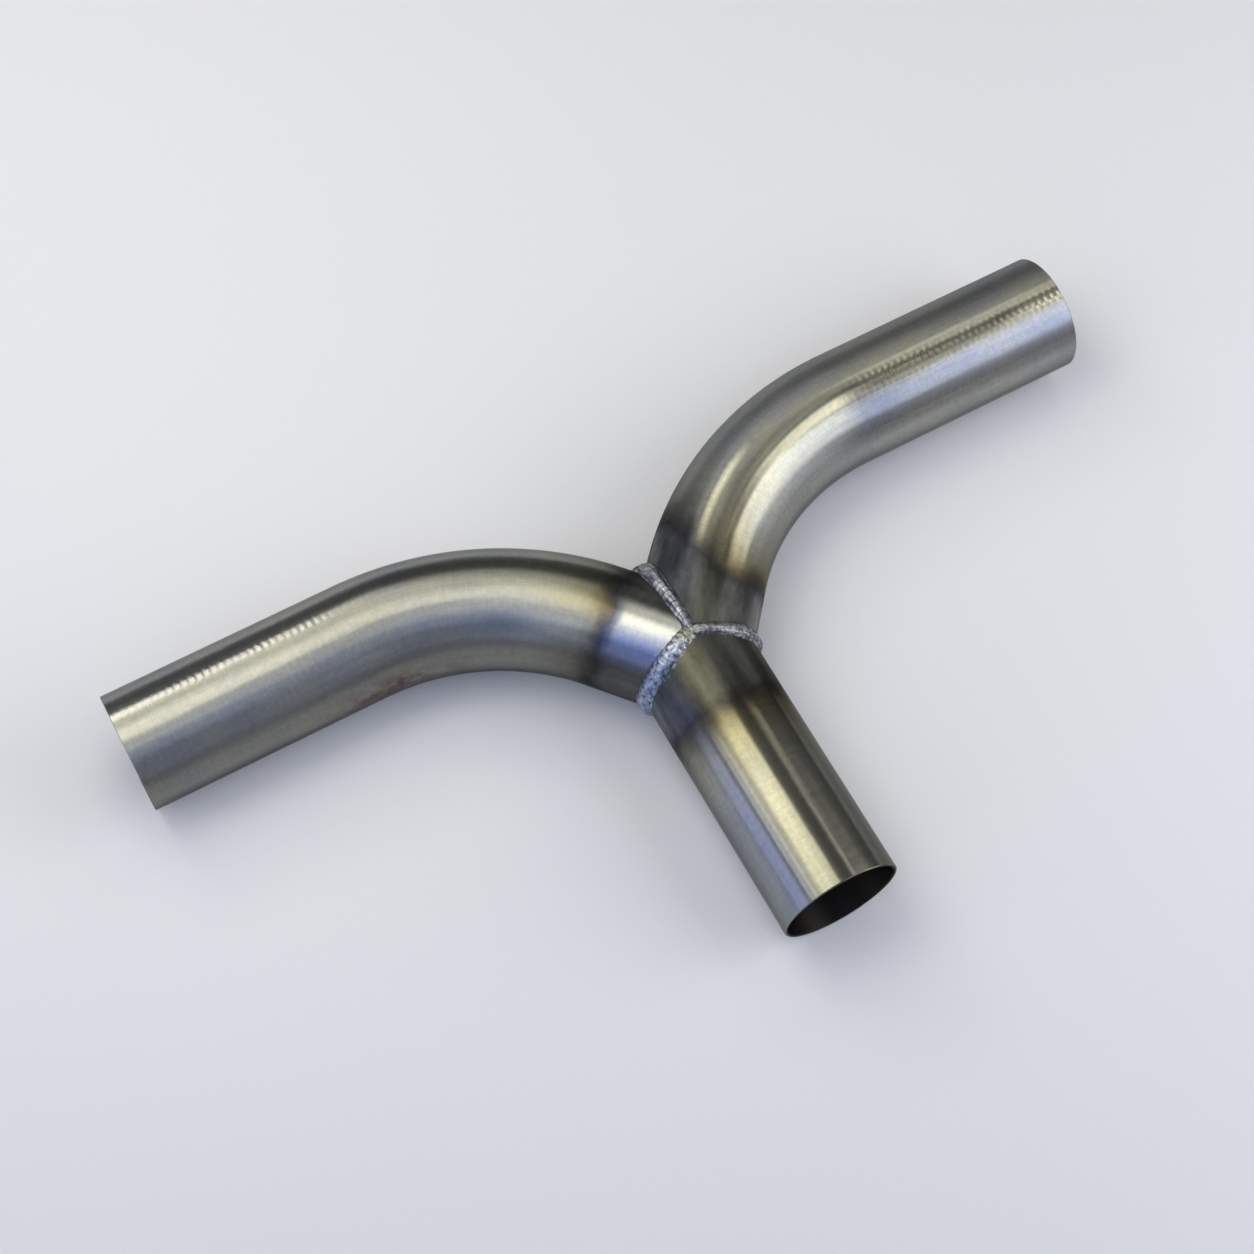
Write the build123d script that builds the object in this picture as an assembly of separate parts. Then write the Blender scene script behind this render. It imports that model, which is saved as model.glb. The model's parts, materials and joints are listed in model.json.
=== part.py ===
from build123d import *
import os
from math import cos, radians, sin, sqrt, tan

# A three-way tube tee, welded up by hand from round steel tube. Millimetres, +Z up.
# The origin is the middle of the outlet's mouth. The outlet runs along +Y from there to the
# crossing, where the three centrelines meet, and all three centrelines lie in the plane z = 0.

# Tube stock, the same for all three legs
tube_diameter = 50.8
wall_thickness = 1.5
end_deburr = 0.3

# Layout along the centrelines. The land is the straight between the crotch's mitre and the bend.
outlet_length = 120.0
crotch_land = 5.7
bend_radius = 121.0
arm_length = 103.0

# Directions, counted from the outlet's own line
branch_lean = 40.0
arm_lean = 90.0

# Weld runs. A leg is the width from the seam to a toe, a crown is the height above the toes.
# Each run changes from its size at the sides to its size on top, where the three runs meet.
crotch_side_leg = 6.0
crotch_top_leg = 2.6
crotch_side_crown = 0.4
left_side_leg = 4.4
left_top_leg = 3.6
left_side_crown = 1.4
right_side_leg = 4.2
right_top_leg = 2.8
right_side_crown = 1.2
meeting_crown = 1.1
toe_sink = 0.25
root_depth = 1.0
weld_overrun = 6.0

# Ripples, one for each puddle of the hand-fed wire, and the slower lumps between them
ripple_pitch = 3.0
ripple_height = 0.28
ripple_width = 0.2
ripple_fall = 0.8
lump_height = 0.25
lump_width = 0.4
lump_waves = (2.1, 0.9)

# Worked out from the sizes above
tube_radius = tube_diameter / 2
bore_radius = tube_radius - wall_thickness
crossing = Vector(0, outlet_length, 0)
branch_lead = tube_radius / tan(radians(branch_lean)) + crotch_land
bend_turn = arm_lean - branch_lean
mitre_margin = tube_diameter
far_away = 2 * (outlet_length + branch_lead + bend_radius + arm_length + tube_diameter)
outlet_heading = 270.0
crotch_heading = 90.0


def direction(angle):
    """A unit vector in the tee's plane, with its angle counted from +X towards +Y."""
    return Vector(cos(radians(angle)), sin(radians(angle)), 0)


def rod(start, heading, radius, length):
    """A solid round bar that starts at a point and runs along a heading."""
    base = Plane(origin=start, x_dir=(0, 0, 1), z_dir=direction(heading))
    return extrude(base * Circle(radius), length)


def leg_headings(side):
    """The headings of a branch's lead and arm. The side is -1 on the left and 1 on the right."""
    return 90 - side * branch_lean, 90 - side * arm_lean


def branch_points(side):
    """Where the bend starts, its centre and where it ends."""
    lead_heading, arm_heading = leg_headings(side)
    bend_start = crossing + direction(lead_heading) * branch_lead
    bend_centre = bend_start + direction(lead_heading - side * 90) * bend_radius
    bend_end = bend_centre + direction(arm_heading + side * 90) * bend_radius
    return bend_start, bend_centre, bend_end


def branch_rod(side, radius):
    """The lead, bend and arm of one branch as a solid bar, uncut at the crossing."""
    lead_heading, arm_heading = leg_headings(side)
    bend_start, bend_centre, bend_end = branch_points(side)
    lead_start = crossing - direction(lead_heading) * mitre_margin
    lead = rod(lead_start, lead_heading, radius, mitre_margin + branch_lead)
    bend_base = Plane(origin=bend_start, x_dir=(0, 0, 1), z_dir=direction(lead_heading))
    bend_axis = Axis(bend_centre, (0, 0, -side))
    bend = revolve(bend_base * Circle(radius), bend_axis, bend_turn)
    arm = rod(bend_end, arm_heading, radius, arm_length)
    return lead + bend + arm


def outlet_rod(radius):
    """The outlet as a solid bar from its mouth to past the crossing."""
    return rod(Vector(0, 0, 0), 90, radius, outlet_length + mitre_margin)


def sector(first_angle, last_angle):
    """The wedge of space round the crossing between two upright planes through it."""
    middle_angle = (first_angle + last_angle) / 2
    corners = [crossing]
    for angle in (first_angle, middle_angle, last_angle):
        corners.append(crossing + direction(angle) * far_away)
    outline = make_face(Polyline(*corners, close=True))
    return extrude(outline, tube_diameter, both=True)


def seam_heading(side):
    """The mitre between a branch and the outlet halves the angle between their centrelines."""
    lead_heading, _ = leg_headings(side)
    outlet_angle = outlet_heading if side < 0 else outlet_heading - 360
    return (lead_heading + outlet_angle) / 2


def deburr(tube, mouth):
    """Break the two edges of a sawn end."""
    rims = [edge for edge in tube.edges().filter_by(GeomType.CIRCLE)
            if (edge.arc_center - mouth).length < end_deburr]
    return chamfer(rims, end_deburr)


def branch_bar(side, radius):
    """A branch as a solid bar, cut to its two mitres."""
    return branch_rod(side, radius) & sector(crotch_heading, seam_heading(side))


def outlet_bar(radius):
    """The outlet as a solid bar, cut to a point by its two mitres."""
    return outlet_rod(radius) & sector(seam_heading(-1), seam_heading(1) + 360)


def branch_tube(side):
    """One bent tube, mitred at the crossing and sawn square at its mouth."""
    tube = branch_bar(side, tube_radius) - branch_rod(side, bore_radius)
    _, arm_heading = leg_headings(side)
    _, _, bend_end = branch_points(side)
    return deburr(tube, bend_end + direction(arm_heading) * arm_length)


def outlet_tube():
    """The straight tube, mitred to a point at the crossing and sawn square at its mouth."""
    tube = outlet_bar(tube_radius) - outlet_rod(bore_radius)
    return deburr(tube, Vector(0, 0, 0))


def weld_section(heading, half_opening, turn, leg, crown):
    """The cut across a run, where the seam's ellipse has come round by a turn from level."""
    outward = direction(heading)
    across = direction(heading + 90)
    up = Vector(0, 0, 1)
    slope = sin(radians(half_opening))
    level = cos(radians(turn))
    rise = sin(radians(turn))
    seam_point = crossing + outward * (tube_radius / slope * level) + up * (tube_radius * rise)
    flat = sqrt((slope * level) ** 2 + rise ** 2)
    climb = sqrt(max(0.0, 1 - flat ** 2))
    normal = (outward * (slope * level) + up * rise) / flat
    toe_middle = seam_point + normal * (leg * climb - toe_sink)
    first_toe = toe_middle + across * (leg * flat)
    last_toe = toe_middle - across * (leg * flat)
    top = seam_point + normal * (leg * climb + crown)
    root = seam_point - normal * root_depth
    outline = [ThreePointArc(first_toe, top, last_toe), Line(last_toe, root), Line(root, first_toe)]
    return make_face(outline)


def weld_stations(half_opening):
    """Where a run is cut across, as turns from level, with each ripple's number and rise."""
    reach = 90 + weld_overrun
    seam_length = radians(2 * reach) * tube_radius / sin(radians(half_opening))
    ripple_count = round(seam_length / ripple_pitch)
    step = 2 * reach / ripple_count
    for number in range(ripple_count):
        yield number, number * step - reach, 1
        yield number, (number + ripple_fall) * step - reach, 0
    yield ripple_count, reach, 1


def weld_bar(heading, half_opening, side_leg, top_leg, side_crown):
    """One hand-laid run from below to above, rippled and uneven, before it is fitted."""
    sections = []
    for number, turn, rise in weld_stations(half_opening):
        lump = sum(sin(number * wave) for wave in lump_waves) / len(lump_waves)
        top_share = sin(radians(turn)) ** 2
        leg = side_leg + (top_leg - side_leg) * top_share
        crown = side_crown + (meeting_crown - side_crown) * top_share
        leg += ripple_width * rise + lump_width * lump * (1 - top_share)
        crown += ripple_height * rise + lump_height * lump * (1 - top_share)
        sections.append(weld_section(heading, half_opening, turn, leg, crown))
    return loft(sections, ruled=True)


def weld_run(heading, half_opening, side_leg, top_leg, side_crown, first_leg, last_leg):
    """A run in one seam, fitted to the tubes' skins and ended where the next runs begin."""
    bar = weld_bar(heading, half_opening, side_leg, top_leg, side_crown)
    run = bar & sector(first_leg, last_leg)
    for tube in (branch_bar(-1, tube_radius), branch_bar(1, tube_radius), outlet_bar(tube_radius)):
        run = run - tube
    return run


left_lead, _ = leg_headings(-1)
right_lead, _ = leg_headings(1)
side_opening = (180 - branch_lean) / 2
parts = {
    "left_branch_tube": branch_tube(-1),
    "right_branch_tube": branch_tube(1),
    "outlet_tube": outlet_tube(),
    "crotch_weld": weld_run(
        crotch_heading, branch_lean, crotch_side_leg, crotch_top_leg, crotch_side_crown,
        right_lead, left_lead),
    "left_weld": weld_run(
        seam_heading(-1), side_opening, left_side_leg, left_top_leg, left_side_crown,
        left_lead, outlet_heading),
    "right_weld": weld_run(
        seam_heading(1), side_opening, right_side_leg, right_top_leg, right_side_crown,
        outlet_heading - 360, right_lead),
}

os.makedirs("parts", exist_ok=True)
for name, part in parts.items():
    part.label = name
    export_step(part, f"parts/{name}.step")
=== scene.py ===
import json
from math import cos, pi, radians, sin, tan

import bmesh
import bpy
import numpy as np
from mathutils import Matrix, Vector, noise


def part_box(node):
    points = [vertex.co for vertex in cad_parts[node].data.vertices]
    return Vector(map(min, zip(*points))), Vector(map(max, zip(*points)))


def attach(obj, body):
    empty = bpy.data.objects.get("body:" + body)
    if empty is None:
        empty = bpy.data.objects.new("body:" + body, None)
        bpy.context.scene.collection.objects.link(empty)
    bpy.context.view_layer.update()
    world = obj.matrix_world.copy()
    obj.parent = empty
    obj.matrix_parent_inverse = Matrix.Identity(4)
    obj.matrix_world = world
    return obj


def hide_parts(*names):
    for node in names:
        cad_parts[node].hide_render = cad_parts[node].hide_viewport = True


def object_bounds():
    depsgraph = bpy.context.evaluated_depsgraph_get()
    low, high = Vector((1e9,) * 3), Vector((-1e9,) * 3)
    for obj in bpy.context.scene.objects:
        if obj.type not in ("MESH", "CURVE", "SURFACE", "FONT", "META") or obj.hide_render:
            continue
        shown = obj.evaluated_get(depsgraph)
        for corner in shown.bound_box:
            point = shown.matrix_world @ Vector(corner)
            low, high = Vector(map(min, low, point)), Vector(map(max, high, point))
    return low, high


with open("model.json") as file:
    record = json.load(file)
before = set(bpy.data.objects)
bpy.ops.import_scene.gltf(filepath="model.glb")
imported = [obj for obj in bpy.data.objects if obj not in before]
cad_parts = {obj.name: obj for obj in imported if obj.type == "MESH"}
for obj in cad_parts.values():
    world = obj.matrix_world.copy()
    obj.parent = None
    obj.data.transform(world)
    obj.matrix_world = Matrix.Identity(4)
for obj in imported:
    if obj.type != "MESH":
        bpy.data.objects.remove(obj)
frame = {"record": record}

# The looks of a tube tee, welded up by hand from round steel tube.
# The part's own sizes are in millimetres until a mesh is made. The studio's are in metres.
cad_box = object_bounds()
MM = 0.001

# Sizes that the frame gives
mounts = {mount["name"]: mount for mount in frame["record"]["mounts"]}
tube_radius = mounts["right_end_outside"]["dims"]["r_mm"]
bore_radius = mounts["right_end"]["dims"]["r_mm"]
outlet_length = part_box("outlet_tube")[1].y / MM
arm_end_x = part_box("right_branch_tube")[1].x / MM
arm_line_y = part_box("right_branch_tube")[1].y / MM - tube_radius
crown_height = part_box("crotch_weld")[1].z / MM

# Layout along the centrelines, as the tubes were cut and bent
branch_lean = 40.0
crotch_land = 5.7
end_deburr = 0.3
branch_lead = tube_radius / tan(radians(branch_lean)) + crotch_land
lead_reach = branch_lead * cos(radians(branch_lean))
bend_radius = (arm_line_y - outlet_length - lead_reach) / (1 - sin(radians(branch_lean)))
bend_out = branch_lead * sin(radians(branch_lean)) + bend_radius * cos(radians(branch_lean))
arm_length = arm_end_x - bend_out
bend_length = bend_radius * radians(90 - branch_lean)
branch_length = branch_lead + bend_length + arm_length
side_opening = (180 - branch_lean) / 2
crossing = np.array((0.0, outlet_length, 0.0))
up = np.array((0.0, 0.0, 1.0))

# Headings in the tee's plane, counted from +X towards +Y
outlet_heading = 270
left_lead = 90 + branch_lean
right_lead = 90 - branch_lean

# How finely the tubes are meshed
turns_round = 144
lead_rows = 24
bend_rows = 64
arm_rows = 32
outlet_rows = 60

# Where the welding heat drew its dark line: straight round the left branch and the outlet, at a distance from
# the crossing, and along the seams of the right branch, at a distance from them
straight_heat_reach = 33.0
slanted_heat_reach = 21.5

# How far from the seams the spatter of the welding lies
spatter_reach = 9.0

# The marks that a run's skin and a tube's skin carry to their materials
run_mark_names = ("cold", "cream", "flecks", "pale")
skin_mark_names = (
    "blue_heat", "bore", "chatter", "cool_tint", "dark_skin", "die_shine", "heat_reached", "heavy_scale",
    "rust_bloom", "satin_skin", "soot", "spatter", "straw_fringe", "straw_tint")

# Weld runs, as the part's solids have them
ripple_pitch = 3.0
ripple_height = 0.28
ripple_width = 0.2
ripple_fall = 0.8
lump_height = 0.25
lump_width = 0.4
lump_waves = (2.1, 0.9)
meeting_crown = 1.1
toe_sink = 0.25
root_depth = 1.0
weld_overrun = 6.0

# Each run's node, its seam's heading and half opening, its legs at the sides and on top, its crown at the
# sides, and the headings of the tee's legs at which it ends
weld_runs = (
    ("crotch_weld", 90, branch_lean, (6.0, 2.6), 0.4, right_lead, left_lead),
    ("left_weld", (left_lead + outlet_heading) / 2, side_opening, (4.4, 3.6), 1.4, left_lead, outlet_heading),
    ("right_weld", (right_lead + outlet_heading - 360) / 2, side_opening, (4.2, 2.8), 1.2,
     outlet_heading - 360, right_lead),
)

# The finer shape of a run that only the scene gives: bowed puddles, scales and grains
station_step = 0.3
across_steps = 24
puddle_bow = 0.45
scale_size = 1.6
scale_height = 0.2
grain_size = 0.6
grain_height = 0.07
seed_shift = (17.3, 9.1, 5.7)

# Sizes of the blots in the steel
heat_drift_size = 9.0
cloud_size = 26.0
steel_grain_size = 2.2
rust_blot_size = 8.0
spatter_drop_size = 1.9
weld_fleck_size = 1.7

# Waves a millimetre of the long patterns, along the tube or seam and across it. Real brush and drawing lines
# lie about a tenth of a millimetre apart, too fine to show, so they are drawn about eight times as coarse.
brush_waves = (1.3, 0.05, 1)
drawing_waves = (0.012, 1.3, 1)
smear_waves = (0.05, 0.14, 1)
chatter_patch_waves = (0.06, 0.11, 1)
bent_skin_waves = (0.03, 0.09, 1)
weld_streak_waves = (0.12, 1.1, 1)

# Relief that is too shallow for the mesh. The chatter is drawn about as deep as it needs to show.
chatter_pitch = 3.2
chatter_depth = 0.055
brush_depth = 0.0013
spatter_drop_height = 0.08
bent_skin_depth = 0.12
weld_relief = 0.12

# The camera, found by fitting the part's outline to the photograph
camera_turn = -28.735
camera_rise = 64.277
camera_distance = 0.9416
camera_aim = (-0.0161, 0.1440, 0.0)
camera_lens = 65.65
sensor_width = 36.0

# The studio's floor and soft light panels, in metres. Each panel has its name, place, size, colour, radiance
# and facing.
floor_size = 12.0
downwards = (0, 0, -1)
left_and_back = (-0.6, 0.8, 0)
rightwards = (1, 0, 0)
soft_panels = (
    ("panel_above", (-0.18, 0.425, 0.60), (0.42, 0.51), "#FFFCF1", 1.14, downwards),
    ("panel_behind", (-0.26, 0.865, 0.59), (0.40, 0.37), "#FFFDFA", 2.0, downwards),
    ("panel_overhead", (-0.19, 0.29, 0.59), (0.40, 0.24), "#FFFCF2", 0.80, downwards),
    ("panel_overhead_left", (-0.67, 0.31, 0.60), (0.56, 0.28), "#F8F7FF", 0.94, downwards),
    ("panel_overhead_front", (-0.25, 0.03, 0.60), (0.56, 0.26), "#F4F6FF", 0.65, downwards),
    ("panel_behind_right", (0.22, 0.71, 0.60), (0.38, 0.58), "#FFFFF2", 0.5, downwards),
    ("panel_right", (0.44, 0.41, 0.59), (0.16, 0.22), "#FFFDF6", 1.29, downwards),
    ("panel_front_right", (0.53, -0.60, 0.60), (0.34, 1.10), "#E4E8FF", 1.78, downwards),
    ("panel_far_right", (1.35, -0.60, 0.60), (1.30, 1.10), "#FFFDFC", 1.82, downwards),
    ("panel_near_right", (0.78, 0.03, 0.60), (0.60, 0.16), "#FFFBF4", 1.79, downwards),
    ("panel_over_bend", (0.345, 0.09, 0.60), (0.08, 0.20), "#FFFAED", 1.67, downwards),
    ("panel_front_left", (-0.20, -0.26, 0.60), (0.40, 0.30), "#C3D3FF", 0.30, downwards),
    ("panel_low_front", (0.85, -1.825, 0.30), (0.95, 0.60), "#ECEEFF", 0.4, left_and_back),
    ("panel_low_right", (1.73, -1.165, 0.31), (1.25, 0.62), "#FCFBFA", 0.93, left_and_back),
    ("panel_left", (-0.90, 0.25, 0.22), (1.50, 0.44), "#CDD5FF", 0.65, rightwards),
)


def srgb(code):
    """A hex colour as linear red, green, blue and alpha."""
    shares = [int(code[start:start + 2], 16) / 255 for start in (1, 3, 5)]
    linear = [share / 12.92 if share <= 0.04045 else ((share + 0.055) / 1.055) ** 2.4 for share in shares]
    return linear + [1.0]


def direction(angle):
    """A unit vector in the tee's plane, with its angle counted from +X towards +Y."""
    return np.array((cos(radians(angle)), sin(radians(angle)), 0.0))


def bell(value, middle, width):
    """1 at the middle, falling smoothly to 0 at a width to either side."""
    return np.clip(1 - ((value - middle) / width) ** 2, 0, 1) ** 2


def step_up(value, low, high):
    """0 below the low value, 1 above the high one, and smooth between."""
    share = np.clip((value - low) / (high - low), 0, 1)
    return share * share * (3 - 2 * share)


# Tubes. A side is -1 for the left branch, 1 for the right one and 0 for the outlet.
def leg_line(side, along):
    """Points on a leg's centreline, and the way to its crotch side there, which is -X on the outlet."""
    along = np.asarray(along, float)
    if side == 0:
        level_way = np.broadcast_to(direction(180), along.shape + (3,))
        return crossing + along[..., None] * direction(outlet_heading), level_way
    lead_heading = 90 - side * branch_lean
    bend_start = crossing + direction(lead_heading) * branch_lead
    bend_centre = bend_start + direction(lead_heading - side * 90) * bend_radius
    turned = np.clip((along - branch_lead) / bend_radius, 0, radians(90 - branch_lean))
    heading = radians(lead_heading) - side * turned
    level = np.zeros_like(heading)
    onward = np.stack([np.cos(heading), np.sin(heading), level], -1)
    outer = np.stack([-side * np.sin(heading), side * np.cos(heading), level], -1)
    before = np.minimum(along - branch_lead, 0)[..., None]
    beyond = np.maximum(along - branch_lead - bend_length, 0)[..., None]
    return bend_centre + outer * bend_radius + onward * (before + beyond), outer


def seam_reach(side, turn, radius):
    """How far along its leg a tube starts, where its mitres cut it. The turn is from its crotch side."""
    toward = np.cos(turn)
    opening = np.where((toward > 0) & (side != 0), branch_lean, side_opening)
    return radius * np.abs(toward) / np.tan(np.radians(opening))


def along_rows(side, start):
    """Distances along a leg for one skin, one row of points after the other, from its start at each turn."""
    if side == 0:
        share = np.linspace(0, 1, outlet_rows + 1)[:, None]
        return start + (outlet_length - end_deburr - start) * share
    lead = start + (branch_lead - start) * np.linspace(0, 1, lead_rows + 1)[:-1, None]
    bend = branch_lead + bend_length * np.linspace(0, 1, bend_rows + 1)[:-1, None]
    arm = branch_lead + bend_length + (arm_length - end_deburr) * np.linspace(0, 1, arm_rows + 1)[:, None]
    return np.vstack([lead, bend + 0 * start, arm + 0 * start])


def weld_distance(side, along, turn):
    """How far skin points lie from the nearest seam, over the unrolled skin."""
    seam_turn = np.radians(np.arange(-90, 271, 3.0))
    seam_along = seam_reach(side, seam_turn, tube_radius)
    nearest = np.full(along.shape, np.inf)
    for point_along, point_turn in zip(seam_along, seam_turn):
        round_way = np.abs(turn - point_turn)
        round_way = np.minimum(round_way, 2 * pi - round_way) * tube_radius
        nearest = np.minimum(nearest, np.hypot(along - point_along, round_way))
    return nearest


# The marks of each leg. Over is the turn in degrees from the crotch side over the top, folded is the same on
# the underside as on top, and along is in millimetres from the crossing. The factors are strengths.
def left_branch_marks(over, folded, along, near_seam):
    """Sooty by the crotch, straw and blue on top, painted shade outside, rust at the bend's end, chatter past
    it.
    """
    crotch_side = 1 - step_up(folded, 79, 92)
    chatter_rows = np.maximum(bell(over, 77, 9), 0.3 * bell(over, 118, 34))
    comb_row = bell(over, 79, 9) * step_up(along, 125, 160)
    # Painted highlights: pale cream rows on top and in the blue band
    blue_highlight = 0.4 * bell(folded, 125, 12) * bell(along, 54, 26)
    top_highlight = 0.3 * bell(over, 91, 8) * bell(along, 62, 36)
    # Painted shade: the outer flank and an edge by the seam are made darker grey
    dark_flank = 0.62 * step_up(folded, 138, 150) - 0.25 * step_up(folded, 160, 178)
    dark_edge = 0.4 * bell(folded, 140, 8) * bell(along, 48, 18)
    dull_crotch = 0.7 * (1 - step_up(folded, 68, 80)) * (1 - step_up(along, 24, 36))
    return {
        "blue_heat": bell(folded, 125, 26),
        "chatter": step_up(along, 128, 165) * chatter_rows,
        "cool_tint": 0.6 * bell(over, 128, 16) * (1 - step_up(along, 80, 115)),
        "dark_skin": dark_flank + dark_edge,
        "die_shine": blue_highlight + top_highlight + 0.15 * comb_row,
        "heavy_scale": np.maximum(crotch_side, 0.9 * step_up(folded, 127, 142)),
        "rust_bloom": bell(over, 176, 24) * bell(along, 134, 46),
        "satin_skin": (0.3 + 0.5 * bell(folded, 146, 18)) * (1 - comb_row) + dull_crotch,
        "soot": np.maximum(crotch_side, 0.4 * step_up(folded, 134, 150)),
        "spatter": near_seam * bell(folded, 122, 48),
        "straw_fringe": bell(folded, 93, 24),
        "straw_tint": 0.3 * bell(folded, 95, 45),
    }


def outlet_marks(over, folded, along, near_seam):
    """Scaled and sooty, blue on the left, cream on top, painted shade on the right, and two painted highlight
    lines.
    """
    # Painted highlights: a faint pale band on top and two thin pale lines along it
    pale_lines = 0.3 * (bell(over, 56, 1.6) + bell(over, 60.5, 1.4)) * step_up(along, 36, 50)
    # Painted shade: darker grey on the right, by the seam and over the middle of the top
    dark_side = 0.5 * step_up(folded, 86, 96) - 0.26 * bell(folded, 116, 14) + 0.4 * bell(folded, 135, 14)
    dark_start = 0.5 * bell(folded, 108, 18) * (1 - step_up(along, 30, 42))
    dim_top = 0.35 * bell(folded, 74, 16) * bell(along, 60, 20)
    return {
        "blue_heat": 0.4 * bell(folded, 24, 46),
        "cool_tint": bell(folded, 34, 36) * (0.3 + 0.4 * step_up(along, 52, 80)),
        "dark_skin": dark_side + dark_start + dim_top,
        "die_shine": 0.1 * bell(over, 73, 9) + pale_lines,
        "heavy_scale": 0.6 + 0.4 * step_up(folded, 0, 34),
        "soot": np.full_like(folded, 0.7),
        "spatter": near_seam * bell(folded, 60, 48),
        "straw_fringe": 0.6 * step_up(folded, 54, 66),
        "straw_tint": step_up(folded, 50, 64) - 0.5 * step_up(folded, 78, 92),
    }


def right_branch_marks(over, folded, along, seam_distance):
    """Heavily scaled, satin by the crotch, painted highlights on the lead, the bend and at the end, chatter on
    the arm.
    """
    clean_side = step_up(folded, 142, 162)
    cream_side = 0.5 * bell(over, 117, 16) * (1 - step_up(along, 128, 148))
    # Painted highlights: pale cream bands on the lead, the bend and towards the end
    lead_highlight = 0.35 * bell(over, 91, 7) * bell(along, 52, 22)
    early_highlight = 0.3 * bell(over, 110, 9) * step_up(along, 36, 50) * (1 - step_up(along, 62, 92))
    streak = bell(over, 80, 6) * step_up(along, 34, 48) * (1 - step_up(along, 74, 92))
    on_bend = step_up(along, 62, 92) * (1 - step_up(along, 129, 142))
    bend_highlight = on_bend * (bell(over, 106.5, 11) + 0.25 * bell(over, 118, 9))
    end_highlight = 0.8 * bell(over, 103, 7) * step_up(along, 214, 228)
    end_highlight += 0.3 * bell(over, 100, 4) * step_up(along, 139, 150) * (1 - step_up(along, 205, 220))
    satin_edge = 16 * step_up(along, 78, 105)
    crotch_satin = (1 - step_up(folded - satin_edge, 66, 76)) * step_up(along, 20, 40)
    # Painted shade: darker grey on the flank, on top, by the seam and in a line along the arm
    dark_flank = (0.2 + 0.45 * step_up(along, 110, 140)) * bell(folded, 150, 16)
    dark_top = 0.4 * bell(over, 67, 9) * bell(along, 54, 38)
    dark_start = 0.5 * bell(over, 125, 14) * (1 - step_up(along, 26, 34))
    dark_line = 0.7 * bell(over, 107.5, 4.5) * step_up(along, 136, 152) * (1 - step_up(along, 205, 222))
    return {
        "blue_heat": 0.25 * bell(folded, 45, 50),
        "chatter": step_up(along, 128, 150) * bell(over, 104, 13),
        "cool_tint": 0.8 * bell(over, 130, 16) * step_up(along, 128, 150),
        "dark_skin": dark_flank + dark_top + dark_start + dark_line,
        "die_shine": bend_highlight + end_highlight + streak + lead_highlight + early_highlight,
        "heat_reached": 1 + (seam_distance - slanted_heat_reach) / straight_heat_reach,
        "heavy_scale": 1 - 0.5 * clean_side - 0.35 * (1 - step_up(folded, 34, 50)),
        "satin_skin": crotch_satin + 0.5 * bell(folded, 138, 14),
        "soot": 1 - 0.4 * clean_side,
        "straw_fringe": step_up(folded, 96, 112),
        "straw_tint": np.maximum(0.6 * bell(folded, 100, 22), cream_side),
    }


def skin_marks(side, along, turn):
    """What making the tee left on a leg's skin, and its painted light and shade, from about 0 to 1. The heat
    is 1 on its own dark line.
    """
    over = np.degrees(turn)
    folded = np.degrees(np.arccos(np.cos(turn)))
    seam_distance = weld_distance(side, along, turn)
    near_seam = 1 - step_up(seam_distance, spatter_reach / 2, spatter_reach)
    marks = dict.fromkeys(skin_mark_names, np.zeros_like(folded))
    marks["heat_reached"] = along / straight_heat_reach
    if side == -1:
        marks.update(left_branch_marks(over, folded, along, near_seam))
    elif side == 0:
        marks.update(outlet_marks(over, folded, along, near_seam))
    else:
        marks.update(right_branch_marks(over, folded, along, seam_distance))
    return marks


def tube_grid(side):
    """A leg's wall as rows of points: outside, deburred mouth and bore, with their places and marks."""
    turn = -pi / 2 + np.linspace(0, 2 * pi, turns_round + 1)
    outside = along_rows(side, seam_reach(side, turn, tube_radius))
    inside = along_rows(side, seam_reach(side, turn, bore_radius))[::-1]
    mouth = np.full((1, turns_round + 1), outlet_length if side == 0 else branch_length)
    along = np.vstack([outside, mouth, mouth, inside])
    radius = np.concatenate([
        np.full(len(outside), tube_radius), [tube_radius - end_deburr, bore_radius + end_deburr],
        np.full(len(inside), bore_radius)])[:, None]
    centre, outer = leg_line(side, along)
    normal = outer * np.cos(turn)[None, :, None] + up * np.sin(turn)[None, :, None]
    points = (centre + normal * radius[..., None]) * MM
    marks = skin_marks(side, along, turn[None, :] + 0 * along)
    marks["bore"] = np.zeros(along.shape)
    marks["bore"][len(outside) + 1:] = 1
    return turn, along, points, marks, len(outside)


def tube_mesh(name, side):
    """A leg's wall as one closed skin, with sharp edges at its mouth and its mitre."""
    turn, along, points, marks, outside_rows = tube_grid(side)
    rows, columns = along.shape
    shell = bmesh.new()
    uv_layer = shell.loops.layers.uv.new("UVMap")
    layers = {mark: shell.verts.layers.float.new(mark) for mark in marks}
    verts = []
    for row in range(rows):
        verts.append([shell.verts.new(points[row, column]) for column in range(columns - 1)])
        for column, vert in enumerate(verts[row]):
            for mark, layer in layers.items():
                vert[layer] = marks[mark][row, column]
    for row in range(rows):
        after = (row + 1) % rows
        for column in range(columns - 1):
            corners = ((row, column), (after, column), (after, column + 1), (row, column + 1))
            face = shell.faces.new([verts[at_row][at_column % (columns - 1)] for at_row, at_column in corners])
            face.smooth = True
            for loop, (at_row, at_column) in zip(face.loops, corners):
                across_skin = turn[at_column] * tube_radius
                loop[uv_layer].uv = (along[at_row, at_column] * MM, across_skin * MM)
    mouth_rows = range(outside_rows - 1, outside_rows + 3)
    for row in (0, *mouth_rows, rows - 1):
        for column in range(columns - 1):
            edge = shell.edges.get((verts[row][column], verts[row][(column + 1) % (columns - 1)]))
            edge.smooth = False
    shell.normal_update()
    bmesh.ops.recalc_face_normals(shell, faces=shell.faces)
    return finished_mesh(name, shell)


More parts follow.
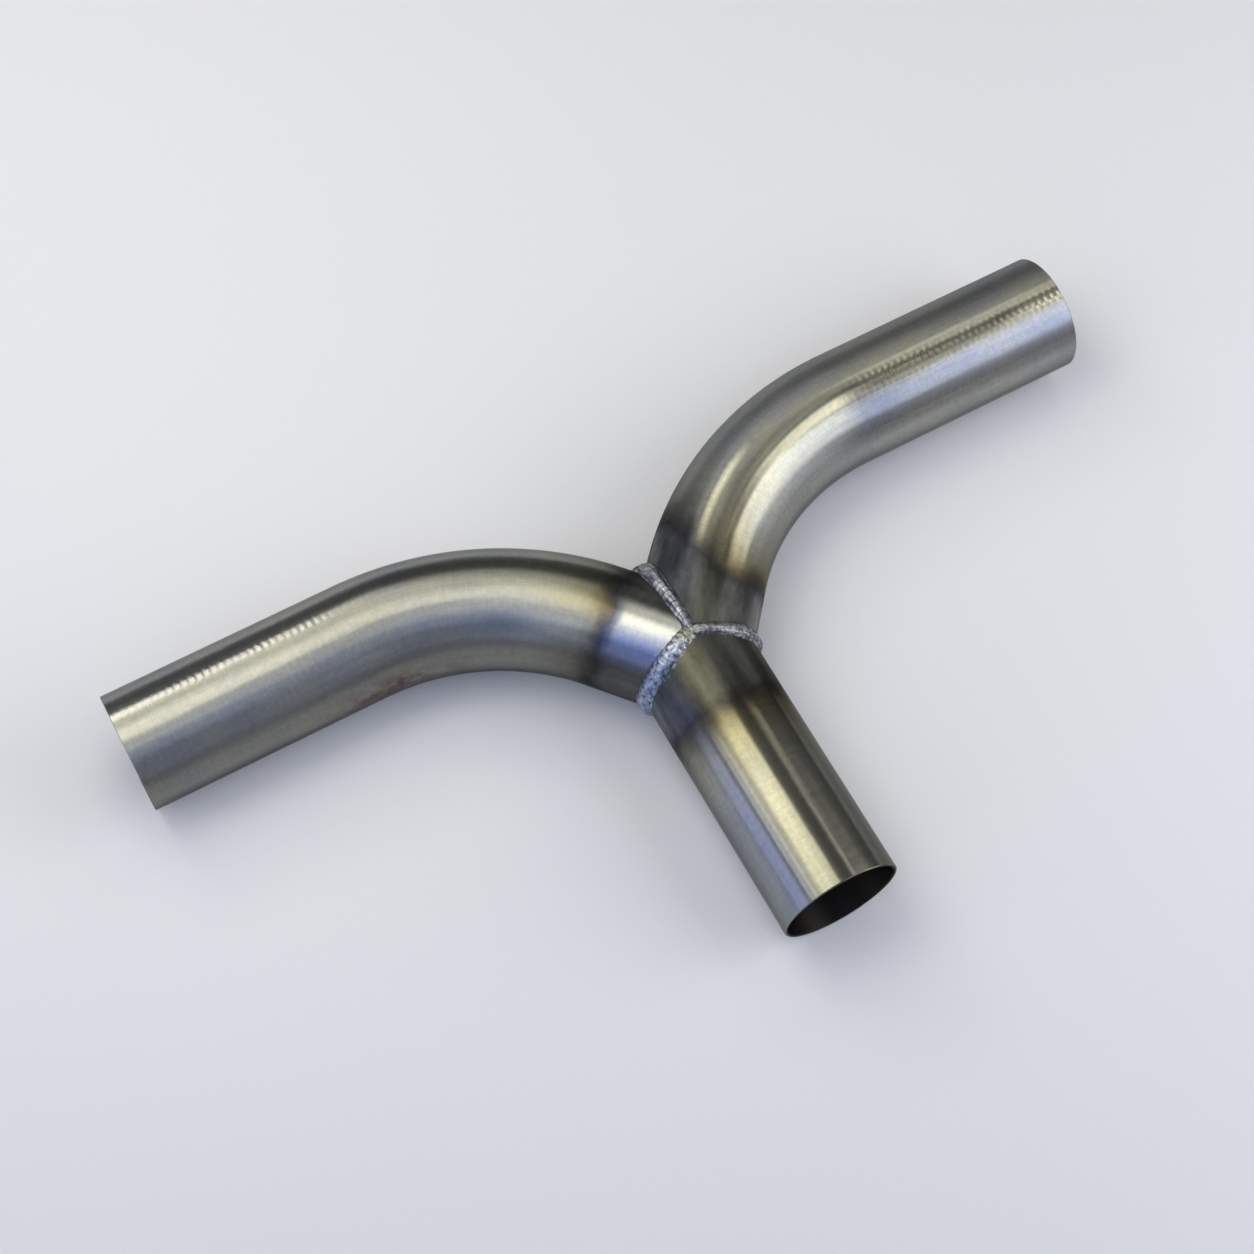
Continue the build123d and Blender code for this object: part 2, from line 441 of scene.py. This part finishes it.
def finished_mesh(name, shell):
    """Turn a worked-up shell into a mesh."""
    mesh = bpy.data.meshes.new(name)
    shell.to_mesh(mesh)
    shell.free()
    return mesh


# Weld runs
def smooth_noise(points, size, seed):
    """Even noise from -1 to 1 at points, with lumps of a given size."""
    shift = Vector([way * seed for way in seed_shift])
    return np.array([noise.noise(Vector(point) / size + shift) for point in points])


def run_marks(node, turn, place, ridge):
    """How a run looks at each turn from level and each place across it, from 0 to 1."""
    up_seam = np.degrees(np.abs(turn)) + 0 * place
    everywhere = 0 * up_seam
    meeting = step_up(up_seam, 70, 86)
    if node == "crotch_weld":
        # Painted highlight: a pale streak along the crown, partway down the seam
        highlight_streak = 0.5 * bell(up_seam, 50, 34) * bell(place, 0, 0.6)
        pale = 0.3 + 0.12 * bell(place, 0, 0.9) + highlight_streak
        return {"pale": pale, "flecks": 0.25 + everywhere, "cold": 0.2 + everywhere, "cream": everywhere}
    if node == "left_weld":
        # Painted highlight: paler on the crown and on the ripple crests
        pale = 0.42 + 0.25 * (1 - place ** 2) + 0.2 * ridge
        cold = 1 - 0.7 * step_up(up_seam, 40, 75)
        return {"pale": pale, "flecks": 1 + everywhere, "cold": cold, "cream": meeting}
    # Painted highlight: a paler crown, most of all towards the top
    pale = 0.22 + 0.45 * bell(place, 0.1, 0.8) * (0.4 + 0.6 * step_up(up_seam, 25, 60))
    return {"pale": pale, "flecks": 0.6 + everywhere, "cold": everywhere, "cream": 0.4 * meeting}


def run_grid(node, heading, opening, leg_sizes, side_crown, seed):
    """One hand-laid run as rows of points: overlapping crescents, uneven toes and a rough skin."""
    outward, across = direction(heading), direction(heading + 90)
    slope = sin(radians(opening))
    reach = radians(90 + weld_overrun)
    seam_length = 2 * reach * tube_radius / slope
    ripple_count = round(seam_length / ripple_pitch)
    stations = round(seam_length / station_step)
    turn = np.linspace(-reach, reach, stations + 1)[:, None]
    level, rise = np.cos(turn), np.sin(turn)
    flat = np.sqrt((slope * level) ** 2 + rise ** 2)
    climb = np.sqrt(np.maximum(0, 1 - flat ** 2))
    seam = crossing + outward * (tube_radius / slope * level)[..., None]
    seam = seam + up * (tube_radius * rise)[..., None]
    normal = (outward * (slope * level)[..., None] + up * rise[..., None]) / flat[..., None]
    place = np.linspace(-1, 1, across_steps + 1)[None, :]
    ripple = (turn + reach) / (2 * reach) * ripple_count
    lump = sum(np.sin(ripple * wave) for wave in lump_waves) / len(lump_waves)
    top_share = rise ** 2
    side_leg, top_leg = leg_sizes
    leg = side_leg + (top_leg - side_leg) * top_share + lump_width * lump * (1 - top_share)
    crown = side_crown + (meeting_crown - side_crown) * top_share + lump_height * lump * (1 - top_share)
    phase = (ripple - puddle_bow * place ** 2) % 1.0
    ridge = np.where(phase < ripple_fall, 1 - phase / ripple_fall, (phase - ripple_fall) / (1 - ripple_fall))
    leg = leg + ripple_width * ridge
    height = leg * climb - toe_sink + (crown + toe_sink) * (1 - place ** 2)
    height = height + ripple_height * ridge * (1 - place ** 4)
    points = seam + normal * height[..., None] + across * (leg * flat * place)[..., None]
    marks = run_marks(node, turn, place, ridge)
    rough = scale_height * smooth_noise(points.reshape(-1, 3), scale_size, seed)
    rough = rough + grain_height * smooth_noise(points.reshape(-1, 3), grain_size, seed + 1)
    rough = rough.reshape(ridge.shape) * (0.4 + 0.6 * marks["flecks"]) * (1 - place ** 6)
    points = points + normal * rough[..., None]
    # The scales stay under the solids' crowns, so that the run doesn't pass the part's box
    points[..., 2] = np.clip(points[..., 2], -crown_height, crown_height)
    root = (seam - normal * root_depth)[:, 0]
    return points, root, np.linspace(0, seam_length, stations + 1), marks


def run_shell(points, root, seam_run, marks, top_leg):
    """A run's points as one closed shell, with its root below."""
    bead = bmesh.new()
    uv_layer = bead.loops.layers.uv.new("UVMap")
    layers = {mark: bead.verts.layers.float.new(mark) for mark in marks}
    rows = []
    for station in range(len(points)):
        ring = []
        for place, point in enumerate(points[station]):
            vert = bead.verts.new(point * MM)
            for mark, layer in layers.items():
                vert[layer] = marks[mark][station, place]
            ring.append(vert)
        ring.append(bead.verts.new(root[station] * MM))
        rows.append(ring)
    for station, (low, high) in enumerate(zip(rows, rows[1:])):
        for place in range(len(low)):
            after = (place + 1) % len(low)
            face = bead.faces.new((low[place], low[after], high[after], high[place]))
            face.smooth = True
            for loop, row, column in zip(face.loops, (0, 0, 1, 1), (place, place + 1, place + 1, place)):
                across_way = (column / across_steps * 2 - 1) * top_leg
                loop[uv_layer].uv = (seam_run[station + row] * MM, across_way * MM)
    bead.faces.new(rows[0][::-1])
    bead.faces.new(rows[-1])
    return bead


def weld_mesh(node, heading, opening, leg_sizes, side_crown, first_leg, last_leg, seed):
    """One hand-laid run, cut off where the next runs begin."""
    points, root, seam_run, marks = run_grid(node, heading, opening, leg_sizes, side_crown, seed)
    bead = run_shell(points, root, seam_run, marks, leg_sizes[1])
    for leg_heading, outward_turn in ((first_leg, -90), (last_leg, 90)):
        cut = bmesh.ops.bisect_plane(
            bead, geom=bead.verts[:] + bead.edges[:] + bead.faces[:], plane_co=Vector(crossing * MM),
            plane_no=Vector(direction(leg_heading + outward_turn)), clear_outer=True)
        if not any(isinstance(item, bmesh.types.BMEdge) for item in cut["geom_cut"]):
            raise SystemExit(f"{node}: the cut along {leg_heading} misses the run")
        bmesh.ops.holes_fill(bead, edges=[edge for edge in bead.edges if edge.is_boundary], sides=0)
    bmesh.ops.recalc_face_normals(bead, faces=bead.faces)
    return finished_mesh(node + "_run", bead)


# Materials. In a mix, input 0 is the share of the second one. Inputs 2 and 3 are two values, and inputs 6
# and 7 are two colours, whose mix is output 2.
blend = {"data_type": "RGBA", "out": 2}
multiply = {"data_type": "RGBA", "blend_type": "MULTIPLY", "out": 2}


def add(tree, kind, inputs=None, out=0, stops=(), **settings):
    """Add a node and give back one of its outputs. An input is a value or another node's output."""
    made = tree.nodes.new("ShaderNode" + kind)
    for setting, value in settings.items():
        setattr(made, setting, value)
    for socket, value in (inputs or {}).items():
        if isinstance(value, bpy.types.NodeSocket):
            tree.links.new(value, made.inputs[socket])
        else:
            made.inputs[socket].default_value = value
    for number, (place, colour) in enumerate(stops):
        elements = made.color_ramp.elements
        stop = elements[number] if number < 2 else elements.new(place)
        stop.position = place
        stop.color = srgb(colour)
    return made.outputs[out]


def new_material(name):
    """An empty material, its node tree and its shader."""
    material = bpy.data.materials.new(name)
    material.use_nodes = True
    return material, material.node_tree, material.node_tree.nodes["Principled BSDF"]


def places(tree):
    """Where a point lies, in millimetres: in the part, and on the unrolled skin."""
    in_part = add(tree, "TexCoord", out="Object")
    in_part = add(tree, "VectorMath", {0: in_part, "Scale": 1 / MM}, operation="SCALE")
    on_skin = add(tree, "UVMap", uv_map="UVMap")
    on_skin = add(tree, "VectorMath", {0: on_skin, "Scale": 1 / MM}, operation="SCALE")
    return in_part, on_skin


def heat_film(tree, place, marks):
    """The film that welding heat leaves on bare steel, as a share of the steel's own colour: a dark ring with
    straw outside it. Also whether a point is inside the ring, and how scorched it is."""
    drift = add(tree, "TexNoise", {"Vector": place, "Scale": 1 / heat_drift_size, "Detail": 3.0})
    drift = add(tree, "MapRange", {
        "Value": drift, "From Min": 0.3, "From Max": 0.7, "To Min": -0.05, "To Max": 0.05})
    heat = add(tree, "Math", {0: marks["heat_reached"], 1: drift}, operation="ADD")

    # The ramps hold the heat halved, so the dark line is in their middle
    half_heat = add(tree, "Math", {0: heat, 1: 0.5}, operation="MULTIPLY")
    clean = add(tree, "ValToRGB", {0: half_heat}, stops=(
        (0.0, "#FFFFFF"), (1.0, "#FFFFFF"), (0.38, "#FAFAF6"), (0.43, "#E9EAE8"), (0.465, "#B2B3C0"),
        (0.50, "#868698"), (0.54, "#A9A49C"), (0.60, "#E6E2DA"), (0.68, "#F8F6F0")))
    scaled = add(tree, "ValToRGB", {0: half_heat}, stops=(
        (0.0, "#B8B8B6"), (1.0, "#FFFFFF"), (0.30, "#B4B4B4"), (0.43, "#A8A8AA"), (0.50, "#807E84"),
        (0.56, "#96938D"), (0.66, "#D2CFC6"), (0.80, "#F2F0EA")))
    film = add(tree, "Mix", {0: marks["heavy_scale"], 6: clean, 7: scaled}, **blend)
    straw = add(tree, "ValToRGB", {0: half_heat}, stops=(
        (0.49, "#FFFFFF"), (1.0, "#FFFFFF"), (0.545, "#FFF1D8"), (0.61, "#FFF5DA"), (0.69, "#FFFBE6")))
    film = add(tree, "Mix", {0: marks["straw_fringe"], 6: film, 7: straw}, **multiply)
    inner = add(tree, "MapRange", {
        "Value": heat, "From Min": 0.8, "From Max": 1.15, "To Min": 1.0, "To Max": 0.0},
        interpolation_type="SMOOTHSTEP")
    blue = add(tree, "Math", {0: marks["blue_heat"], 1: inner}, operation="MULTIPLY")
    film = add(tree, "Mix", {0: blue, 6: film, 7: srgb("#AEBCF0")}, **multiply)
    near = add(tree, "MapRange", {
        "Value": heat, "From Min": 0.7, "From Max": 1.4, "To Min": 1.0, "To Max": 0.0},
        interpolation_type="SMOOTHSTEP")
    return film, inner, add(tree, "Math", {0: near, 1: marks["soot"]}, operation="MULTIPLY")


def plain_steel(tree, place, marks, inner):
    """The steel's colour in soft clouds, straw and bare places, and painted shade, highlights and blue
    reflections.
    """
    clouds = add(tree, "TexNoise", {"Vector": place, "Scale": 1 / cloud_size, "Detail": 3.0})
    clouds = add(tree, "MapRange", {"Value": clouds, "From Min": 0.35, "From Max": 0.65})
    steel = add(tree, "Mix", {0: clouds, 6: srgb("#989A9A"), 7: srgb("#A2A29A")}, **blend)
    steel = add(tree, "Mix", {0: marks["straw_tint"], 6: steel, 7: srgb("#A3A084")}, **blend)
    # Painted shade: darker grey on the flanks, edges and lines that show dark surroundings
    steel = add(tree, "Mix", {0: marks["dark_skin"], 6: steel, 7: srgb("#5C5B57")}, **blend)
    bare = add(tree, "Math", {0: 1.0, 1: marks["heavy_scale"]}, operation="SUBTRACT")
    bare = add(tree, "Math", {0: bare, 1: inner}, operation="MULTIPLY")
    steel = add(tree, "Mix", {0: bare, 6: steel, 7: srgb("#D6D6CC")}, **blend)
    # Painted highlight: pale cream where the bands of light lie
    steel = add(tree, "Mix", {0: marks["die_shine"], 6: steel, 7: srgb("#F2F0D6")}, **blend)
    # Painted reflection: a blue tint where the steel shows bluish light
    return add(tree, "Mix", {0: marks["cool_tint"], 6: steel, 7: srgb("#DEE7FF")}, **multiply)


def worked_steel(tree, place, unrolled, brushed, scorched, steel):
    """The steel with brush lines round the tube, drawing lines along it, a fine grain, and smears of soot."""
    drawn = add(tree, "VectorMath", {0: unrolled, 1: drawing_waves}, operation="MULTIPLY")
    drawn = add(tree, "TexNoise", {"Vector": drawn, "Scale": 1.0, "Detail": 2.0}, noise_dimensions="2D")
    lines = add(tree, "Math", {0: brushed, 1: drawn}, operation="ADD")
    shade = add(tree, "MapRange", {
        "Value": lines, "From Min": 0.7, "From Max": 1.3, "To Min": 0.93, "To Max": 1.05})
    steel = add(tree, "Mix", {0: 1.0, 6: steel, 7: shade}, **multiply)
    grain = add(tree, "TexNoise", {
        "Vector": place, "Scale": 1 / steel_grain_size, "Detail": 4.0, "Roughness": 0.7})
    grain = add(tree, "MapRange", {
        "Value": grain, "From Min": 0.3, "From Max": 0.7, "To Min": 0.89, "To Max": 1.10})
    steel = add(tree, "Mix", {0: 1.0, 6: steel, 7: grain}, **multiply)
    smears = add(tree, "VectorMath", {0: unrolled, 1: smear_waves}, operation="MULTIPLY")
    smears = add(tree, "TexNoise", {"Vector": smears, "Scale": 1.0, "Detail": 2.0}, noise_dimensions="2D")
    smears = add(tree, "MapRange", {
        "Value": smears, "From Min": 0.3, "From Max": 0.7, "To Min": 0.65, "To Max": 1.4})
    return add(tree, "Mix", {0: scorched, 6: steel, 7: smears}, **multiply)


def rust_blots(tree, place, marks):
    """A bloom of light rust in small blots."""
    blots = add(tree, "TexNoise", {
        "Vector": place, "Scale": 1 / rust_blot_size, "Detail": 4.0, "Roughness": 0.6})
    blots = add(tree, "MapRange", {"Value": blots, "From Min": 0.34, "From Max": 0.58})
    return add(tree, "Math", {0: blots, 1: marks["rust_bloom"]}, operation="MULTIPLY")


def spatter_drops(tree, place, marks):
    """Small pale drops that stuck to the skin beside the seams."""
    drops = add(tree, "TexNoise", {
        "Vector": place, "Scale": 1 / spatter_drop_size, "Detail": 2.0, "Roughness": 0.6})
    nearness = add(tree, "MapRange", {"Value": marks["spatter"], "To Min": -0.22, "To Max": 0.03})
    drops = add(tree, "Math", {0: drops, 1: nearness}, operation="ADD")
    return add(tree, "MapRange", {"Value": drops, "From Min": 0.55, "From Max": 0.66})


def steel_gloss(tree, marks, brushed, scorched, blots):
    """How rough the skin is: scale, rust, satin and the bore are duller than the brushed skin."""
    rough = add(tree, "MapRange", {
        "Value": brushed, "From Min": 0.3, "From Max": 0.7, "To Min": 0.21, "To Max": 0.24})
    for duller, amount in ((scorched, 0.42), (blots, 0.3), (marks["satin_skin"], 0.28)):
        dull = add(tree, "Math", {0: duller, 1: amount}, operation="MULTIPLY")
        rough = add(tree, "Math", {0: rough, 1: dull}, operation="ADD")
    return add(tree, "Mix", {0: marks["bore"], 2: rough, 3: 0.5})


def steel_relief(tree, unrolled, marks, brushed, drops):
    """Chatter from the brushing wheel in rows of shallow hollows, brush lines, stuck drops, and the long and
    very shallow waves of drawn and bent tube, which bend the lights in it."""
    hollows = add(tree, "VectorMath", {0: unrolled, 1: chatter_patch_waves}, operation="MULTIPLY")
    hollows = add(tree, "TexNoise", {"Vector": hollows, "Scale": 1.0, "Detail": 1.0}, noise_dimensions="2D")
    hollows = add(tree, "MapRange", {
        "Value": hollows, "From Min": 0.35, "From Max": 0.65, "To Min": 0.3, "To Max": 1.0})
    comb = add(tree, "SeparateXYZ", {0: unrolled})
    comb = add(tree, "Math", {0: comb, 1: 2 * pi / chatter_pitch}, operation="MULTIPLY")
    comb = add(tree, "Math", {0: comb}, operation="SINE")
    chatter = add(tree, "Math", {0: comb, 1: hollows}, operation="MULTIPLY")
    chatter = add(tree, "Math", {0: chatter, 1: marks["chatter"]}, operation="MULTIPLY")
    waves = add(tree, "VectorMath", {0: unrolled, 1: bent_skin_waves}, operation="MULTIPLY")
    waves = add(tree, "TexNoise", {"Vector": waves, "Scale": 1.0, "Detail": 1.0}, noise_dimensions="2D")
    skin = add(tree, "Math", {0: chatter, 1: chatter_depth}, operation="MULTIPLY")
    for relief, depth in ((brushed, brush_depth), (drops, spatter_drop_height), (waves, bent_skin_depth)):
        shape = add(tree, "Math", {0: relief, 1: depth}, operation="MULTIPLY")
        skin = add(tree, "Math", {0: skin, 1: shape}, operation="ADD")
    return add(tree, "Bump", {"Height": skin, "Strength": 1.0, "Distance": MM})


def brushed_tube_steel():
    """Mild steel tube, drawn, bent and brushed round: grey, with bands of light along it and fine lines."""
    material, tree, shader = new_material("tube_steel_brushed")
    marks = {name: add(tree, "Attribute", attribute_name=name, out="Fac") for name in skin_mark_names}
    place, unrolled = places(tree)
    film, inner, scorched = heat_film(tree, place, marks)
    brushed = add(tree, "VectorMath", {0: unrolled, 1: brush_waves}, operation="MULTIPLY")
    brushed = add(tree, "TexNoise", {"Vector": brushed, "Scale": 1.0, "Detail": 3.0}, noise_dimensions="2D")
    blots = rust_blots(tree, place, marks)
    drops = spatter_drops(tree, place, marks)
    steel = plain_steel(tree, place, marks, inner)
    steel = worked_steel(tree, place, unrolled, brushed, scorched, steel)
    steel = add(tree, "Mix", {0: 1.0, 6: steel, 7: film}, **multiply)
    steel = add(tree, "Mix", {0: blots, 6: steel, 7: srgb("#705B57")}, **blend)
    steel = add(tree, "Mix", {0: drops, 6: steel, 7: srgb("#A4A6AA")}, **blend)
    # Painted shade: the bore is made near-black, the shade inside the tube
    steel = add(tree, "Mix", {0: marks["bore"], 6: steel, 7: srgb("#393733")}, **blend)
    tree.links.new(steel, shader.inputs["Base Color"])
    tree.links.new(steel_gloss(tree, marks, brushed, scorched, blots), shader.inputs["Roughness"])
    tree.links.new(steel_relief(tree, unrolled, marks, brushed, drops), shader.inputs["Normal"])

    # The brush lines draw the gloss out along the tube, and the film on the steel dims it at its edges
    tangent = add(tree, "Tangent", direction_type="UV_MAP", uv_map="UVMap")
    tree.links.new(tangent, shader.inputs["Tangent"])
    shader.inputs["Metallic"].default_value = 1.0
    shader.inputs["Anisotropic"].default_value = 0.75
    shader.inputs["Specular Tint"].default_value = srgb("#B8B8B8")
    return material


def weld_steel():
    """Weld metal as laid: darker and duller at its toes, a painted highlight on its crown, paler scales and
    streaks.
    """
    material, tree, shader = new_material("weld_metal_as_laid")
    marks = {name: add(tree, "Attribute", attribute_name=name, out="Fac") for name in run_mark_names}
    place, unrolled = places(tree)
    flecks = add(tree, "TexNoise", {
        "Vector": place, "Scale": 1 / weld_fleck_size, "Detail": 2.0, "Roughness": 0.6})
    streaks = add(tree, "VectorMath", {0: unrolled, 1: weld_streak_waves}, operation="MULTIPLY")
    streaks = add(tree, "TexNoise", {"Vector": streaks, "Scale": 1.0, "Detail": 2.0}, noise_dimensions="2D")
    pattern = add(tree, "Mix", {0: marks["flecks"], 2: streaks, 3: flecks})
    pattern = add(tree, "MapRange", {
        "Value": pattern, "From Min": 0.32, "From Max": 0.68, "To Min": -0.48, "To Max": 0.48})
    shade = add(tree, "Math", {0: marks["pale"], 1: pattern}, operation="ADD")
    colour = add(tree, "ValToRGB", {0: shade}, stops=(
        (0.0, "#545458"), (1.0, "#CED0D0"), (0.30, "#7A7A7E"), (0.60, "#ACB0B2")))
    colour = add(tree, "Mix", {0: marks["cold"], 6: colour, 7: srgb("#C6D5F0")}, **multiply)
    colour = add(tree, "Mix", {0: marks["cream"], 6: colour, 7: srgb("#F4F0CC")}, **multiply)
    tree.links.new(colour, shader.inputs["Base Color"])
    rough = add(tree, "MapRange", {
        "Value": shade, "From Min": 0.1, "From Max": 0.9, "To Min": 0.6, "To Max": 0.36})
    tree.links.new(rough, shader.inputs["Roughness"])
    bump = add(tree, "Bump", {"Height": pattern, "Strength": 1.0, "Distance": weld_relief * MM})
    tree.links.new(bump, shader.inputs["Normal"])
    shader.inputs["Metallic"].default_value = 1.0
    return material


# The studio
def studio_floor():
    """A plain pale matt floor at the height that the part rests on."""
    bpy.ops.mesh.primitive_plane_add(size=floor_size, location=(0, 0, cad_box[0].z))
    floor = bpy.context.object
    floor.name = "floor"
    material, _, shader = new_material("floor_matt_pale")
    shader.inputs["Base Color"].default_value = srgb("#F0F0EE")
    shader.inputs["Roughness"].default_value = 0.9
    shader.inputs["Specular IOR Level"].default_value = 0.0
    floor.data.materials.append(material)


def soft_panel(name, place, size, colour, radiance, facing):
    """A soft light panel. The radiance is what a mirror would show, where 1 is white."""
    data = bpy.data.lights.new(name, "AREA")
    data.shape = "RECTANGLE"
    data.size, data.size_y = size
    data.color = srgb(colour)[:3]
    data.energy = radiance * 4 * size[0] * size[1]
    panel = bpy.data.objects.new(name, data)
    panel.location = place
    panel.rotation_mode = "QUATERNION"
    panel.rotation_quaternion = Vector(facing).to_track_quat("-Z", "Y")
    panel.visible_camera = False
    bpy.context.scene.collection.objects.link(panel)


def room_light():
    """The dim room round the panels, brightest and bluest in front of overhead and darker to the right."""
    world = bpy.data.worlds.new("room")
    bpy.context.scene.world = world
    world.use_nodes = True
    tree = world.node_tree
    way = add(tree, "TexCoord", out="Generated")
    backwards = add(tree, "SeparateXYZ", {0: way}, out="Y")
    backwards = add(tree, "MapRange", {"Value": backwards, "From Min": -1.0, "From Max": 1.0})
    shade = add(tree, "ValToRGB", {0: backwards}, stops=(
        (0.0, "#7B8090"), (1.0, "#777777"), (0.12, "#8E96A4"), (0.25, "#B4BBCD"), (0.38, "#B6BBC8"),
        (0.50, "#A3A5AB"), (0.66, "#999BA1"), (0.80, "#848483")))
    sideways = add(tree, "SeparateXYZ", {0: way}, out="X")
    sideways = add(tree, "MapRange", {"Value": sideways, "From Min": -1.0, "From Max": 1.0})
    tint = add(tree, "ValToRGB", {0: sideways}, stops=(
        (0.0, "#FFFFFF"), (1.0, "#A6A8AA"), (0.45, "#E8ECFF"), (0.58, "#ACACAC")))
    light = add(tree, "Mix", {0: 1.0, 6: shade, 7: tint}, **multiply)
    tree.links.new(light, tree.nodes["Background"].inputs["Color"])
    tree.nodes["Background"].inputs["Strength"].default_value = 1.0


def photo_camera():
    """The camera at the photograph's viewing angle."""
    azimuth, elevation = radians(camera_turn), radians(camera_rise)
    back = Vector((sin(azimuth) * cos(elevation), -cos(azimuth) * cos(elevation), sin(elevation)))
    data = bpy.data.cameras.new("camera")
    data.lens = camera_lens
    data.sensor_width = sensor_width
    camera = bpy.data.objects.new("camera", data)
    camera.location = Vector(camera_aim) + back * camera_distance
    camera.rotation_mode = "QUATERNION"
    camera.rotation_quaternion = (-back).to_track_quat("-Z", "Y")
    bpy.context.scene.collection.objects.link(camera)
    bpy.context.scene.camera = camera


# Pieces
def new_piece(name, mesh, material):
    """Link a mesh as a piece that rides on the part."""
    piece = bpy.data.objects.new(name, mesh)
    bpy.context.scene.collection.objects.link(piece)
    piece.data.materials.append(material)
    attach(piece, "root")
    return piece


def build_tubes(material):
    """The three tubes, each for its own solid."""
    for node, side in (("left_branch_tube", -1), ("right_branch_tube", 1), ("outlet_tube", 0)):
        name = node + "_brushed"
        piece = new_piece(name, tube_mesh(name, side), material)
        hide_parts(node)


def build_welds(material):
    """The three weld runs, each for its own solid."""
    for seed, (node, *shape) in enumerate(weld_runs):
        piece = new_piece(node + "_run", weld_mesh(node, *shape, seed), material)
        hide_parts(node)


bpy.context.scene.view_settings.view_transform = "Standard"
photo_camera()
studio_floor()
for panel_settings in soft_panels:
    soft_panel(*panel_settings)
room_light()
build_tubes(brushed_tube_steel())
build_welds(weld_steel())
